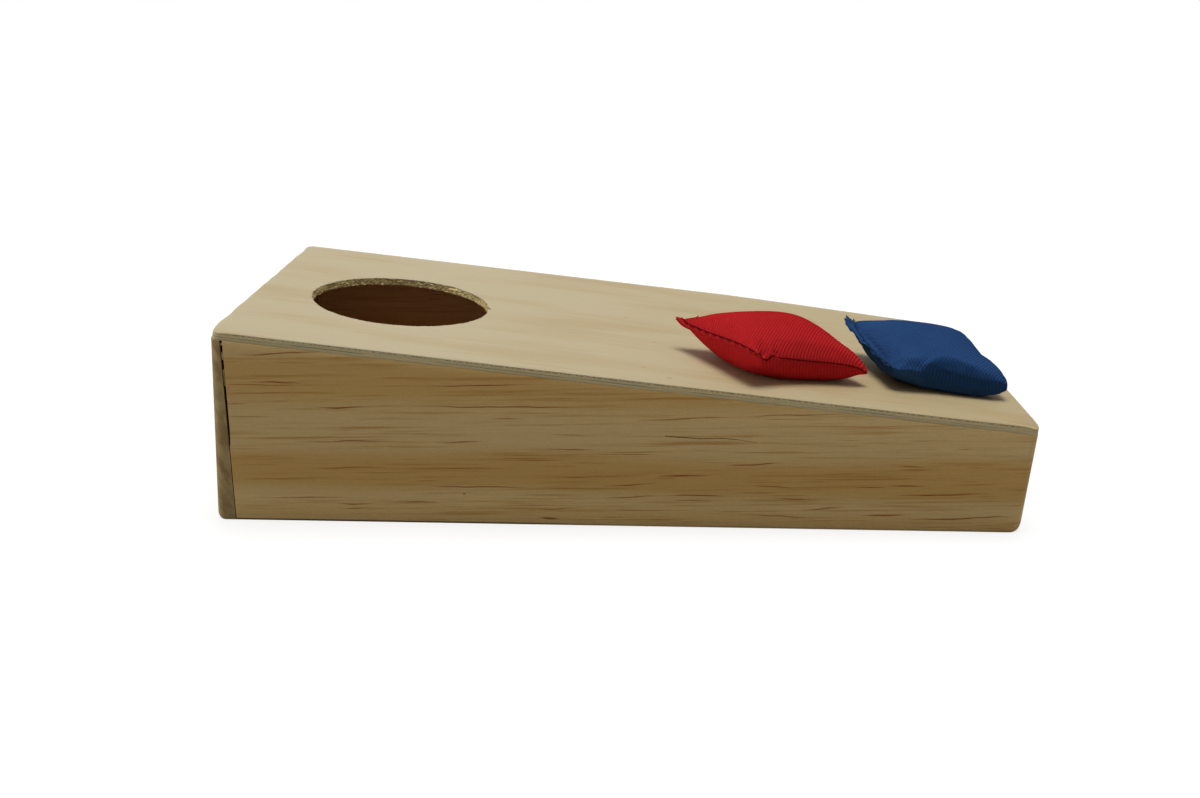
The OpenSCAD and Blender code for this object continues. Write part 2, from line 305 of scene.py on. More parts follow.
def new_mesh(points, faces, smooth=True):
    """A mesh from points in millimetres, with its faces turned outwards."""
    mesh = bpy.data.meshes.new("mesh")
    mesh.from_pydata((np.asarray(points) * MM).tolist(), [], [[int(i) for i in face] for face in faces])
    return edited(mesh, turn_outwards, smooth)


def ring_faces(count, rings):
    """Quads between rings of count points each, which follow one another in the list of points."""
    return [
        (base + i, base + after, base + count + after, base + count + i)
        for base in range(0, count * (rings - 1), count)
        for i, after in zip(range(count), [*range(1, count), 0])
    ]


def capped(rings):
    """Points and faces of the closed form that rings of points make, with a flat face at each end."""
    count = len(rings[0])
    total = count * len(rings)
    ends = [tuple(range(count)), tuple(range(total - count, total))]
    return np.concatenate(rings), ring_faces(count, len(rings)) + ends


def applied(piece):
    """The mesh of a piece with its modifiers applied."""
    graph = bpy.context.evaluated_depsgraph_get()
    return bpy.data.meshes.new_from_object(piece.evaluated_get(graph), depsgraph=graph)


def bake(piece):
    """Applies a piece's modifiers to its mesh."""
    mesh = applied(piece)
    piece.modifiers.clear()
    piece.data = mesh


UP = np.array([0.0, 0.0, 1.0])
THREAD_END = 0.35


def turns(count):
    """The angles of a circle's points."""
    return np.linspace(0, 2 * math.pi, count, endpoint=False)


def unit(vectors):
    return vectors / (np.linalg.norm(vectors, axis=-1, keepdims=True) + 1e-9)


def tube(points, radius, sides=6, flat=1.0):
    """A thread along points, with rounded ends, whose height is flat times its width."""
    along = unit(np.gradient(points, axis=0))
    side = unit(np.cross(along, UP))
    sizes = np.full(len(points), radius)
    sizes[[0, -1]] *= THREAD_END
    angles = turns(sides)[:, None]
    return capped([
        p + size * (np.cos(angles) * across + flat * np.sin(angles) * over)
        for p, size, across, over in zip(points, sizes, side, np.cross(side, along))
    ])


def joined(parts):
    """Points and faces of several parts as one."""
    faces = []
    total = 0
    for points, part_faces in parts:
        faces += [tuple(i + total for i in face) for face in part_faces]
        total += len(points)
    return np.concatenate([points for points, _ in parts]), faces


def ripple(*place):
    """Smooth noise of about -0.5 to 0.5 at a place."""
    return noise.noise(Vector(place))


def wobble(points, size, seed=0.0):
    """Smooth noise at points, with grains of a size in millimetres."""
    places = np.pad(points, ((0, 0), (0, 3 - points.shape[1])))
    return np.array([noise.noise(Vector(p) / size + Vector((seed, seed, seed))) for p in places])


# Wood

PINE_PALE = (0.62, 0.445, 0.20)
PINE_WARM = (0.555, 0.34, 0.11)
PINE_SOFT = (0.39, 0.19, 0.035)
PINE_STREAK = (0.25, 0.058, 0.001)
PINE_INSIDE_PAINTED_SHADE = (0.98, 0.66, 0.58)
PINE_SLANT = 1.3
VENEER_PALE = (0.535, 0.455, 0.29)
VENEER_WARM = (0.495, 0.39, 0.225)
VENEER_LOW_END_PAINTED_SHADE = (0.86, 0.80, 0.69)
CORE_GREEN = (0.76, 0.60, 0.32)
CORE_BLUE = (0.60, 0.535, 0.315)
CORE_LINE = (0.12, 0.125, 0.10)
BACK_PALE = (0.64, 0.53, 0.31)
BACK_DARK = (0.50, 0.41, 0.23)
GLUE_BROWN = (0.16, 0.105, 0.05)
# Fresh sawn wood at the hole's wall, partly made brighter as painted light on that dim wall
SAWN_PALE_AND_PAINTED_LIGHT = (0.90, 0.72, 0.34)
SAWN_DARK_AND_PAINTED_LIGHT = (0.64, 0.47, 0.19)
END_GRAIN_PALE = (0.48, 0.35, 0.16)
END_GRAIN_DARK = (0.31, 0.205, 0.085)
END_GRAIN_SLANT = 24

# Painted shade inside the open joint, and how far it reaches from the front
JOINT_PAINTED_SHADE = (0.03, 0.01, 0.004)
JOINT_REACH = 10

# The side boards are painted lighter towards the foot, as painted light from the floor's bounce, with a line
# of painted shade of this height along it
PINE_FOOT_PAINTED_LIGHT = 1.14
FOOT_SHADE_LINE = 1.0
FOOT_PAINTED_SHADE = (0.03, 0.014, 0.003)

# A side board's faces more than this far from the front or back are inside the box, and get painted warm
# shade
INSIDE_FROM = 5.6

# Warm bands across the height of the side board: height of the middle, half width and strength
PINE_BANDS = [(56, 9, 0.75), (21.5, 7, 1.0), (2, 5, 0.35)]

# Tiny knots in the deck: s, y and radius
PIN_KNOTS = [(167.6, -65.7, 0.5), (162.6, -20.5, 0.4), (158, -56, 0.35), (151, 12, 0.4)]

# The dark streaks that stand out on the front board, which follow the photograph: x and height of one end,
# x and height of the other, half width and strength
STREAKS = [
    (-143, 65, -104, 67, 0.45, 0.8), (-138, 54.8, -112, 54.9, 0.4, 0.8), (-77, 54.3, -26, 55.6, 0.4, 0.8),
    (-116, 45.6, -88, 46.2, 0.45, 0.8), (-86, 46.6, -8, 46.9, 0.4, 0.9), (-124, 31.7, -78, 32.8, 0.45, 0.7),
    (-70, 32.7, -48, 33, 0.35, 0.8), (-50, 41.8, -33, 42.2, 0.35, 0.6), (-119, 21.3, -84, 22.5, 0.4, 0.6),
    (-84, 22.2, -34, 22.6, 0.35, 0.7), (-77, 14.7, -28, 15.3, 0.35, 1), (-140, 9.1, -95, 10, 0.4, 0.6),
    (-108, 7.4, -90, 7.7, 0.4, 0.8), (-106, 5.6, -92, 6, 0.35, 0.7), (-88, 8.4, -66, 8.5, 0.35, 0.7),
    (-31, 3, -21, 2.7, 0.6, 1), (-33, 6.5, -14, 6.9, 0.3, 0.7), (-6, 36.2, -30, 36.3, 0.35, 0.5),
    (3, 42.2, 40, 43.8, 0.45, 0.7), (38, 43.9, 92, 46.6, 0.35, 0.7), (12, 20, 36, 21.2, 0.45, 1),
    (37, 25.1, 62, 26.4, 0.4, 1), (-9, 16.2, 17, 17.7, 0.35, 0.8), (-9, 11.3, 18, 12.5, 0.45, 0.7),
    (16, 12.6, 42, 13, 0.4, 0.9), (46, 17.8, 68, 16.4, 0.35, 0.7), (44, 5.5, 74, 4.8, 0.4, 0.7),
    (54, 12.5, 76, 12.1, 0.35, 0.7), (84, 17.2, 102, 17, 0.35, 0.6), (98, 13.6, 140, 15.9, 0.42, 1),
    (103, 4.3, 152, 6.9, 0.4, 1), (88, 6.2, 110, 6.3, 0.45, 0.9), (66, 7.7, 86, 9.3, 0.4, 0.8),
    (98, 25.5, 116, 26, 0.35, 0.6), (122, 32.9, 131, 33.2, 0.35, 0.5), (97, 17.4, 116, 18.5, 0.4, 0.8),
]


def pine(name, seed=0.0, streaks=()):
    """Planed pine with its grain along x: warm bands, soft brown ones, short dark streaks and fine grain,
    with painted light towards the foot, a painted shade line along it and painted shade on faces inside the
    box.
    """
    shader = Shader(name)
    grain = partial(shader.grain, shift=(seed, seed * 1.7, seed * 0.6), slant=PINE_SLANT)
    x, y, z = shader.place()
    height = z + grain((120, 60, 30), 1.0, slant=0).vary(-5, 5)
    warm = 0.0
    for middle, half, strength in PINE_BANDS:
        warm = (height.off(middle + seed * 3).ramp(half * 1.7, half * 0.4) * strength).most(warm)
    warm += grain((70, 30, 5), 3.0).vary(-0.35, 0.35)
    colour = warm.ramp(-0.1, 1.1).mix(PINE_PALE, PINE_WARM)
    soft = grain((60, 12, 1.6), 3.0, 0.6).ramp(0.5, 0.75) * 0.75
    colour = soft.mix(colour, PINE_SOFT)

    dashes = grain((30, 8, 0.42), 1.8).ramp(0.63, 0.73) * grain((50, 30, 7)).ramp(0.42, 0.62) * 0.9
    if streaks:
        dashes = dashes.most(placed_streaks(shader, z, x, streaks))
    colour = dashes.mix(colour, PINE_STREAK)
    fine = grain((9, 4, 0.28), 3.0, 0.7) + grain((1.2, 1.2, 0.25))
    colour = fine.shade(colour, 0.85, 1.15)

    # Painted light: lighter towards the foot, as from the floor's bounce
    colour = height.ramp(17, 2).shade(colour, 1.0, PINE_FOOT_PAINTED_LIGHT)
    # Painted shade: a dark line along the foot where the board meets the floor, strongest at the left
    foot = z.ramp(FOOT_SHADE_LINE, FOOT_SHADE_LINE * 0.35) * x.ramp(0, -40).vary(0.3, 1.0) * 0.9
    colour = foot.mix(colour, FOOT_PAINTED_SHADE)
    # Painted shade: faces inside the box are made darker and warmer, as the box's dim inside with its warm
    # bounce
    inside = y.off(0).ramp(BOX_W / 2 - INSIDE_FROM, BOX_W / 2 - INSIDE_FROM - 0.6)
    colour = inside.mix(colour, PINE_INSIDE_PAINTED_SHADE, "MULTIPLY")
    return shader.surface(colour, fine, 0.03, 0.62, 0.14)


def placed_streaks(shader, z, x, streaks):
    """How much each point lies in one of the chosen streaks, each a spindle with a slightly bent line."""
    lift = z + shader.grain((14, 14, 14), 1.0).vary(0.8, -0.8)
    flat = shader.value("CombineXYZ", {0: x, 2: lift})
    total = 0.0
    for x0, z0, x1, z1, half, strength in streaks:
        middle = ((x0 + x1) / 2, 0, (z0 + z1) / 2)
        turn = (0, math.atan2(z0 - z1, x1 - x0), 0)
        reach = (math.hypot(x1 - x0, z1 - z0) / 2, 1, half)
        spindle = {"Vector": flat, "Location": middle, "Rotation": turn, "Scale": reach}
        local = shader.value("Mapping", spindle, vector_type="TEXTURE")
        off = shader.value("VectorMath", {0: local}, "Value", operation="LENGTH")
        total = off.vary(strength, 0).most(total)
    return total.ramp(0.0, 0.65) * shader.grain((7, 7, 0.5)).vary(0.4, 1.3)


def end_board_wood(name, seed=0.0, joint_shaded=False):
    """Pine with its grain along y, so that the edges of the board show mottled end grain.

    With joint_shaded, the board is painted dark where it closes the open joint, as painted shade inside the
    gap."""
    shader = Shader(name)
    grain = partial(shader.grain, shift=(seed, seed * 0.7, seed * 1.3))
    mottle = grain((0.55, 9, 0.55), 2.5, 0.7)
    rings = grain((2.4, 60, 9), slant=END_GRAIN_SLANT) + grain((5, 80, 5)).vary(-0.3, 0.3)
    colour = rings.ramp(0.3, 0.75).mix(END_GRAIN_PALE, END_GRAIN_DARK)
    colour = (mottle.ramp(0.62, 0.72) * 0.5).mix(colour, GLUE_BROWN)
    colour = mottle.shade(colour, 0.72, 1.28)
    if joint_shaded:
        x, y, _ = shader.place()
        # Painted shade where the board shows through the open joint
        near_front = y.ramp(FRONT_Y + JOINT_REACH, FRONT_Y + JOINT_REACH - 2)
        in_joint = x.ramp(JOINT_X - 0.35, JOINT_X - 0.1) * near_front
        colour = in_joint.mix(colour, JOINT_PAINTED_SHADE)
    return shader.surface(colour, mottle, 0.06, 0.75, 0.1)


def face_veneer():
    """The pale top layer: soft clouds, faint warm lines along the slope and a few tiny knots, with painted
    shade towards the low end.
    """
    shader = Shader("face_veneer")
    lines = shader.grain((55, 1.6, 5), 3.0, 0.6)
    fine = shader.grain((14, 0.35, 2), 2.5, 0.7)
    warm = shader.grain((95, 22, 20)) + lines.vary(-0.22, 0.22)
    colour = warm.ramp(0.42, 0.72).mix(VENEER_PALE, VENEER_WARM)
    colour = (fine + shader.grain((0.9, 0.5, 0.9))).shade(colour, 0.93, 1.07)
    s, y, _ = shader.place()
    # Painted shade: the deck darker and warmer towards its low end, as the light falls off there
    colour = s.ramp(60, 330).mix(colour, VENEER_LOW_END_PAINTED_SHADE, "MULTIPLY")
    for knot_s, knot_y, size in PIN_KNOTS:
        ring = ((s - knot_s) * 0.6).hypot(y - knot_y).off(size)
        colour = (ring.ramp(size * 0.7, size * 0.1) * 0.35).mix(colour, GLUE_BROWN)
    return shader.surface(colour, fine + lines, 0.02, 0.6, 0.16)


def sawn_and_painted_light_at_hole(shader, colour, pattern):
    """A layer's colour, with fresh sawn wood at the hole's wall, made brighter as painted light on that dim
    wall.
    """
    s, y, _ = shader.place()
    close = (s - HOLE_S).hypot(y - HOLE_Y).ramp(HOLE_R + 4, HOLE_R + 2)
    return close.mix(colour, pattern.mix(SAWN_PALE_AND_PAINTED_LIGHT, SAWN_DARK_AND_PAINTED_LIGHT))


def core_veneer():
    """The cross-grained middle layer: grey-green, with dark dashes along its top glue line, painted shade of
    the torn fibres there.
    """
    shader = Shader("core_veneer")
    _, _, z = shader.place()
    long = shader.grain((22, 22, 0.35), 3.0, 0.65)
    mottle = shader.grain((0.9, 0.9, 0.5))
    share = long + shader.grain((30, 30, 3)).vary(-0.25, 0.25)
    colour = share.ramp(0.3, 0.75).mix(CORE_GREEN, CORE_BLUE)
    low_line = z.off(-FACE_T - CORE_T * 0.72).ramp(0.22, 0.05) * long.ramp(0.36, 0.55)
    colour = (low_line * 0.75).mix(colour, CORE_LINE)
    # Painted shade: dark dashes along the top glue line, as the torn fibres' shade
    near_top_fibre_shade = z.ramp(-FACE_T - 0.42, -FACE_T - 0.1)
    dashes = near_top_fibre_shade * shader.grain((1.1, 1.1, 5), 1.5).ramp(0.46, 0.56)
    colour = (dashes * 0.8).mix(colour, GLUE_BROWN)
    colour = mottle.shade(colour, 0.8, 1.2)
    colour = sawn_and_painted_light_at_hole(shader, colour, mottle.ramp(0.4, 0.65))
    return shader.surface(colour, long + mottle, 0.04, 0.8, 0.1)


def back_veneer():
    """The pale bottom layer of the plywood."""
    shader = Shader("back_veneer")
    lines = shader.grain((40, 1.2, 0.3), 3.0)
    clouds = shader.grain((60, 20, 5))
    colour = lines.ramp(0.35, 0.7).mix(BACK_PALE, BACK_DARK)
    colour = clouds.shade(colour, 0.85, 1.15)
    colour = sawn_and_painted_light_at_hole(shader, colour, clouds.ramp(0.4, 0.6))
    return shader.surface(colour, lines, 0.05, 0.75, 0.1)


# The deck, in its own frame

RIM_STEP = 0.8
SAW_WAVE = 0.35
SAW_WAVE_REACH = 12.0
SAW_TOOTH = 0.12
CAP_RINGS = 14
HOLE_SLANT = 0.2
SHARP_FROM = math.radians(28)

# Its two near corners are worn: place along s, how far in at the top, how far down, and reach
WORN_CORNERS = [(0, 0.9, 0.4, 5.0), (DECK_L, 0, 0.9, 3.5)]

# The low end leans out by this much at the top, from this far before it on
LOW_END_LEAN = 0.7
LEAN_FROM = 30.0

# The deck has warped down towards its far low corner, from this far down the slope on
FAR_DROP = 2.6
FAR_DROP_S = 195.0

# Broken spots in the hole's upper rim: angle, reach in radians and depth
FLAKES = [(math.radians(6), 0.035, 1.0), (math.radians(62), 0.06, 0.7)]


def far_drop(s, y):
    """How far the deck and what carries it are lower than the model's."""
    along = np.clip((s - FAR_DROP_S) / (DECK_L - FAR_DROP_S), 0, None)
    return FAR_DROP * along**1.2 * ((y + BOX_W / 2) / BOX_W) ** 2


def low_end_lean(along, height):
    """How far the low end leans out, by the distance along the deck and the height."""
    return LOW_END_LEAN * np.clip(1 - (DECK_L - along) / LEAN_FROM, 0, 1) * np.clip(height / LOW_H, 0, 1)


def deck_rim():
    """Points round the deck's upper edge and their outward directions."""
    s = DECK_L - CORNER_R
    y = BOX_W / 2 - CORNER_R
    corners = np.array([(s, y), (CORNER_R, y), (CORNER_R, -y), (s, -y)])
    points = []
    ways = []
    for i, corner in enumerate(corners):
        angles = np.linspace(0, math.pi / 2, 8) + i * math.pi / 2
        arc = np.column_stack([np.cos(angles), np.sin(angles)])
        side = corners[(i + 1) % 4] - corner
        steps = int(np.linalg.norm(side) / RIM_STEP)
        straight = np.outer(np.arange(steps) / steps, side)
        points += [corner + CORNER_R * arc[:-1], corner + CORNER_R * arc[-1] + straight]
        ways += [arc[:-1], np.tile(arc[-1], (steps, 1))]
    return np.concatenate(points), np.concatenate(ways)


def at_depth(points, depth):
    """Points of the deck's plan, moved down to a depth in it."""
    return np.column_stack([points, np.full(len(points), -depth)])


def outer_ring(inset, depth, tooth):
    """The deck's edge at a depth, drawn in by inset, the saw's slow wave and its teeth marks."""
    points, ways = deck_rim()
    at_tall_end = np.clip(1 - points[:, 0] / SAW_WAVE_REACH, 0, 1)
    wave = (wobble(points, 11) + 0.5) * SAW_WAVE * (0.25 + 0.75 * at_tall_end)
    teeth = (wobble(at_depth(points, -depth * 2), 0.9, 3.1) + 0.5) * tooth
    drawn = inset + np.clip(wave, 0, None) + np.clip(teeth, 0, None)
    ring = points - ways * drawn[:, None]
    ring[:, 0] += LEAN_SHIFT * depth
    return at_depth(ring, depth)


def hole_ring(recess, depth, tooth):
    """The hole's edge at a depth, cut back by recess, with splinters and broken spots."""
    rim, _ = deck_rim()
    angles = np.arctan2(rim[:, 1] - HOLE_Y, rim[:, 0] - HOLE_S)
    ways = np.column_stack([np.cos(angles), np.sin(angles)])
    placed = at_depth(ways * HOLE_R, -depth * 1.5)
    rough = (wobble(placed, 1.1, 5.3) * 1.4 + wobble(placed, 4.0, 1.9)) * tooth
    splinters = np.clip(wobble(placed, 0.7, 8.8) - 0.18, 0, 1) * tooth * 3
    low_right = np.clip(np.cos(angles + math.radians(21)), 0, 1) ** 12
    radius = HOLE_R + recess + rough + splinters
    radius += np.clip(wobble(placed, 0.9, 2.2), 0, 1) * low_right * 0.9
    if depth < FACE_T + 0.4:
        radius += sum(out * np.exp(-(((angles - at) / reach) ** 2)) for at, reach, out in FLAKES)
    return at_depth(np.array([HOLE_S, HOLE_Y]) + ways * radius[:, None], depth)


def cap_rings(start, end):
    """Rings that fill the flat face between two rings, without the two."""
    return [start + (end - start) * k / (CAP_RINGS + 1) for k in range(1, CAP_RINGS + 1)]


def ply(name, slot, material, outer, inner):
    """One layer of plywood. outer and inner list (inset, depth, roughness) from its top to its bottom."""
    outside = [outer_ring(*row) for row in outer]
    inside = [hole_ring(*row) for row in inner][::-1]
    rings = outside + cap_rings(outside[-1], inside[0]) + inside + cap_rings(inside[-1], outside[0])
    count = len(rings[0])
    points = np.concatenate(rings)
    faces = ring_faces(count, len(rings) + 1)
    share = np.clip(1 + points[:, 2] / DECK_T, 0, 1)
    points[:, 2] -= far_drop(points[:, 0], points[:, 1])
    points[:, 0] += low_end_lean(points[:, 0], LOW_H)
    for s, inward, drop, reach in WORN_CORNERS:
        worn = np.exp(-((points[:, 0] - s) ** 2 + (points[:, 1] + BOX_W / 2) ** 2) / reach**2)
        points[:, 0] += inward * worn * share
        points[:, 2] -= drop * worn
    mesh = new_mesh(points, np.array(faces) % len(points))
    mesh.set_sharp_from_angle(angle=SHARP_FROM)
    add_piece(name, mesh, "box", material, ["deck_" + slot], DECK_FRAME)


def make_deck():
    core_end = FACE_T + CORE_T
    ply(
        "deck_top_layer", "face_veneer", face_veneer(),
        [(0.28, 0, 0.05), (0.08, 0.09, 0.1), (0.02, 0.22, 0.1), (0, FACE_T, 0.1)],
        [(0.22, 0, 0.16), (0.06, 0.1, 0.2), (0.0, 0.25, 0.2), (-0.03, FACE_T, 0.2)],
    )
    levels = np.linspace(FACE_T, core_end, 7)
    ply(
        "deck_middle_layer", "core_veneer", core_veneer(),
        [(0.05, d, SAW_TOOTH) for d in levels],
        [(0.05 - HOLE_SLANT * (d - FACE_T), d, 0.28) for d in levels],
    )
    ply(
        "deck_bottom_layer", "back_veneer", back_veneer(),
        [(0.03, core_end, 0.08), (0.02, DECK_T - 0.2, 0.08), (0.2, DECK_T, 0.05)],
        [(-0.35, core_end, 0.3), (-0.4, DECK_T - 0.2, 0.4), (-0.15, DECK_T, 0.5)],
    )


# The boards

BOARD_EDGE = 0.3
EDGE_FROM = math.radians(32)
FLAT_TO = math.radians(0.4)
WELD = 2e-6
CRACK = [(16.6, 36.35), (21.5, 36.0), (29.5, 35.45), (37.2, 35.75), (42.7, 35.4), (50.2, 34.3)]
CRACK_WIDTH = 0.5
CRACK_DEPTH = 1.4
PIN_HOLE = (-57.9, 12.0)
PIN_HOLE_R = 0.55
PIN_HOLE_SIDES = 12

# How far the forms that cut the board stand out in front of it
CUT_PAST = 0.5

# The open joint's width by height, and the lumps of glue that bridge it, from height to height
JOINT_OPEN = [(28.5, 0.0), (31.0, 0.35), (36.0, 0.6), (50.0, 0.65), (80.0, 0.75)]
JOINT_BRIDGES = [(63.2, 66.0), (53.2, 59.4), (68.6, 69.6)]
JOINT_DEPTH = 12
JOINT_PAST = 1
BRIDGE_DEPTH = 2.5
LUMP_CUTS = 7

# Where the boards are cut across, so that their tops can bend down with the deck
BACK_CUTS = [((x, 0, 0), (1, 0, 0)) for x in (46, 80, 115)]
LOW_END_CUTS = [((0, y, 0), (0, 1, 0)) for y in (-45, -20, 5, 30, 52)]


def board_copy(node, cuts=()):
    """The model's board as a new mesh: welded, with its flat faces joined into whole ones and cut across.

    Each cut is a place and a direction. The board's top then follows the warped deck down."""

    def fit(work):
        bmesh.ops.remove_doubles(work, verts=work.verts, dist=WELD)
        bmesh.ops.dissolve_limit(work, angle_limit=FLAT_TO, verts=work.verts, edges=work.edges)
        for place, way in cuts:
            parts = work.verts[:] + work.edges[:] + work.faces[:]
            place = Vector(place) * MM
            bmesh.ops.bisect_plane(work, geom=parts, plane_co=place, plane_no=way, dist=WELD / 2)
        for vert in work.verts:
            x, y, z = vert.co / MM
            along = (x - TALL_EDGE_X) / math.cos(SLOPE)
            if z > LOW_H / 2:
                vert.co.z -= far_drop(along, y) * MM
            vert.co.x += low_end_lean(along, z) * MM

    return edited(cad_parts[node].data.copy(), fit)


def add_board(name, node, wood, cuts=()):
    """A board, its sharp edges broken as by sanding."""
    piece = add_piece(name, board_copy(node, cuts), "box", wood, [node])
    bevel = piece.modifiers.new("edges", "BEVEL")
    bevel.width = BOARD_EDGE * MM
    bevel.segments = 3
    bevel.limit_method = "ANGLE"
    bevel.angle_limit = EDGE_FROM
    bevel.harden_normals = True
    return piece


def cut_away(piece, form):
    """Cuts a small form out of a board."""
    cutter = new_object("cutter", new_mesh(*form, smooth=False))
    cut = piece.modifiers.new("cut", "BOOLEAN")
    cut.operation = "DIFFERENCE"
    cut.solver = "EXACT"
    cut.object = cutter
    bake(piece)
    bpy.data.objects.remove(cutter)


def crack_form():
    """A thin wedge along the crack: widest near its left third and closing at both ends."""
    share = np.linspace(0, 1, len(CRACK))
    widths = CRACK_WIDTH * np.clip(1.25 - abs(share - 0.35) * 1.4, 0.25, 1)
    front = FRONT_Y - CUT_PAST
    back = FRONT_Y + CRACK_DEPTH
    return capped([
        [(x, front, z - w / 2), (x, front, z + w / 2), (x, back, z + w * 0.1), (x, back, z - 0.02)]
        for (x, z), w in zip(CRACK, widths)
    ])


def joint_form():
    """What the end of the front board lacks, so that the joint stands open."""
    front = FRONT_Y - JOINT_PAST
    back = FRONT_Y + JOINT_DEPTH
    left = JOINT_X - JOINT_PAST
    return capped([
        [(left, front, z), (JOINT_X + width, front, z), (JOINT_X + width, back, z), (left, back, z)]
        for z, width in JOINT_OPEN
    ])


def pin_hole_form():
    """A small round nick."""
    x, z = PIN_HOLE
    angles = turns(PIN_HOLE_SIDES)
    return capped([
        np.column_stack([
            x + PIN_HOLE_R * size * np.cos(angles),
            np.full(PIN_HOLE_SIDES, FRONT_Y + deep),
            z + PIN_HOLE_R * size * np.sin(angles) * 0.8,
        ])
        for deep, size in [(-CUT_PAST, 1.0), (0.0, 0.9), (0.9, 0.35)]
    ])


def make_boards():
    front = add_board("front_board", "front_side_board", pine("front_pine", streaks=STREAKS))
    bake(front)
    for form in (joint_form(), crack_form(), pin_hole_form()):
        cut_away(front, form)
    add_board("back_board", "back_side_board", pine("back_pine", seed=4.3), BACK_CUTS)
    add_board("tall_board", "tall_end_board", end_board_wood("tall_board", seed=1.0, joint_shaded=True))
    add_board("low_board", "low_end_board", end_board_wood("low_board", seed=6.0), LOW_END_CUTS)


def lump(low, high, seed):
    """A rough little plug of glue and fibres that fills the box from low to high."""
    low = np.array(low)
    size = np.array(high) - low
    cube = bmesh.new()
    bmesh.ops.create_cube(cube, size=1.0)
    bmesh.ops.subdivide_edges(cube, edges=cube.edges, cuts=LUMP_CUTS, use_grid_fill=True)
    points = np.array([v.co[:] for v in cube.verts])
    faces = [tuple(v.index for v in f.verts) for f in cube.faces]
    cube.free()
    placed = low + size * (points + 0.5)
    push = wobble(placed, 0.9, seed) * 0.35
    placed[:, 1] += np.where(points[:, 1] < 0, 0.18 + push, 0)
    inward = 1 - 0.16 * (np.abs(points[:, 2]) * 2) ** 3
    placed[:, 0] = low[0] + size[0] * (points[:, 0] * inward + 0.5)
    return placed, faces


def make_joint_glue():
    """What bridges the open joint between the front board and the tall end board."""
    parts = []
    for i, (low, high) in enumerate(JOINT_BRIDGES):
        right = JOINT_X + np.interp((low + high) / 2, *zip(*JOINT_OPEN)) + 0.1
        parts.append(lump((JOINT_X - 0.1, FRONT_Y, low), (right, FRONT_Y + BRIDGE_DEPTH, high), i * 3.7))
    wood = end_board_wood("glue", seed=2.0)
    add_piece("joint_glue", new_mesh(*joined(parts)), "box", wood)


# The bags

HALF_SIDE = 25.0
CLOTH_T = 0.6
SEAM_GAP = 0.1
SEAM_REACH = CLOTH_T + SEAM_GAP / 2
CLOSING_DRAW = 0.5
REST_H = 0.2
REST_SOFT = 0.5
GRID = 60
GRID_LINE = np.sin(np.linspace(-1, 1, GRID + 1) * math.pi / 2)
GRID_U, GRID_V = np.meshgrid(GRID_LINE, GRID_LINE, indexing="ij")

# A cloth's colours, how deep its weave is, the waves of the weave in cycles a millimetre along u and v with
# their shares, and how much of it shows at the closing seam and in the folded side, where it is drawn taut
# and painted darker as shade
Cloth = namedtuple("Cloth", "base deep fray depth ribs at_hem in_folds")

# A bag lies with its middle at (s, y) on the deck. lifts are the heights of its front, left, back and right
# corners, and rounds how sharp these are. crown and belly are how far it swells, bulk how square that is,
# draw how far its sides are drawn in, and short the share of the closing side that is hem: it is the side
# towards the tall end. widths and droops give the hem's width and its angle below the deck's plane, by v.
# The flap is how far the hem runs on past the corner, and wall is 1 where the near side stands up steeply.
# threads and ends are colours, of the seams and of loose ends. The rest is given one by one, at u and v:
# shifts, which push the whole bag aside: u, v, reach in u and v, and how far along s, y and h
# presses, which are bumps and dents: panel, u, v, half length, half width, direction and how far out
# folds of the top, which are sharp: the places along each, half width and how far out
# loose thread ends: where each starts on the top, its shift from there, its direction and its bend
# The threads colour the stitches and also the dark tubes laid in the seams' creases as painted shade
Bag = namedtuple(
    "Bag",
    "colour middle turn skew lifts rounds crown belly bulk draw short widths droops flap ruffle wall "
    "plain_seams cloth threads ends shifts presses folds loose",
)
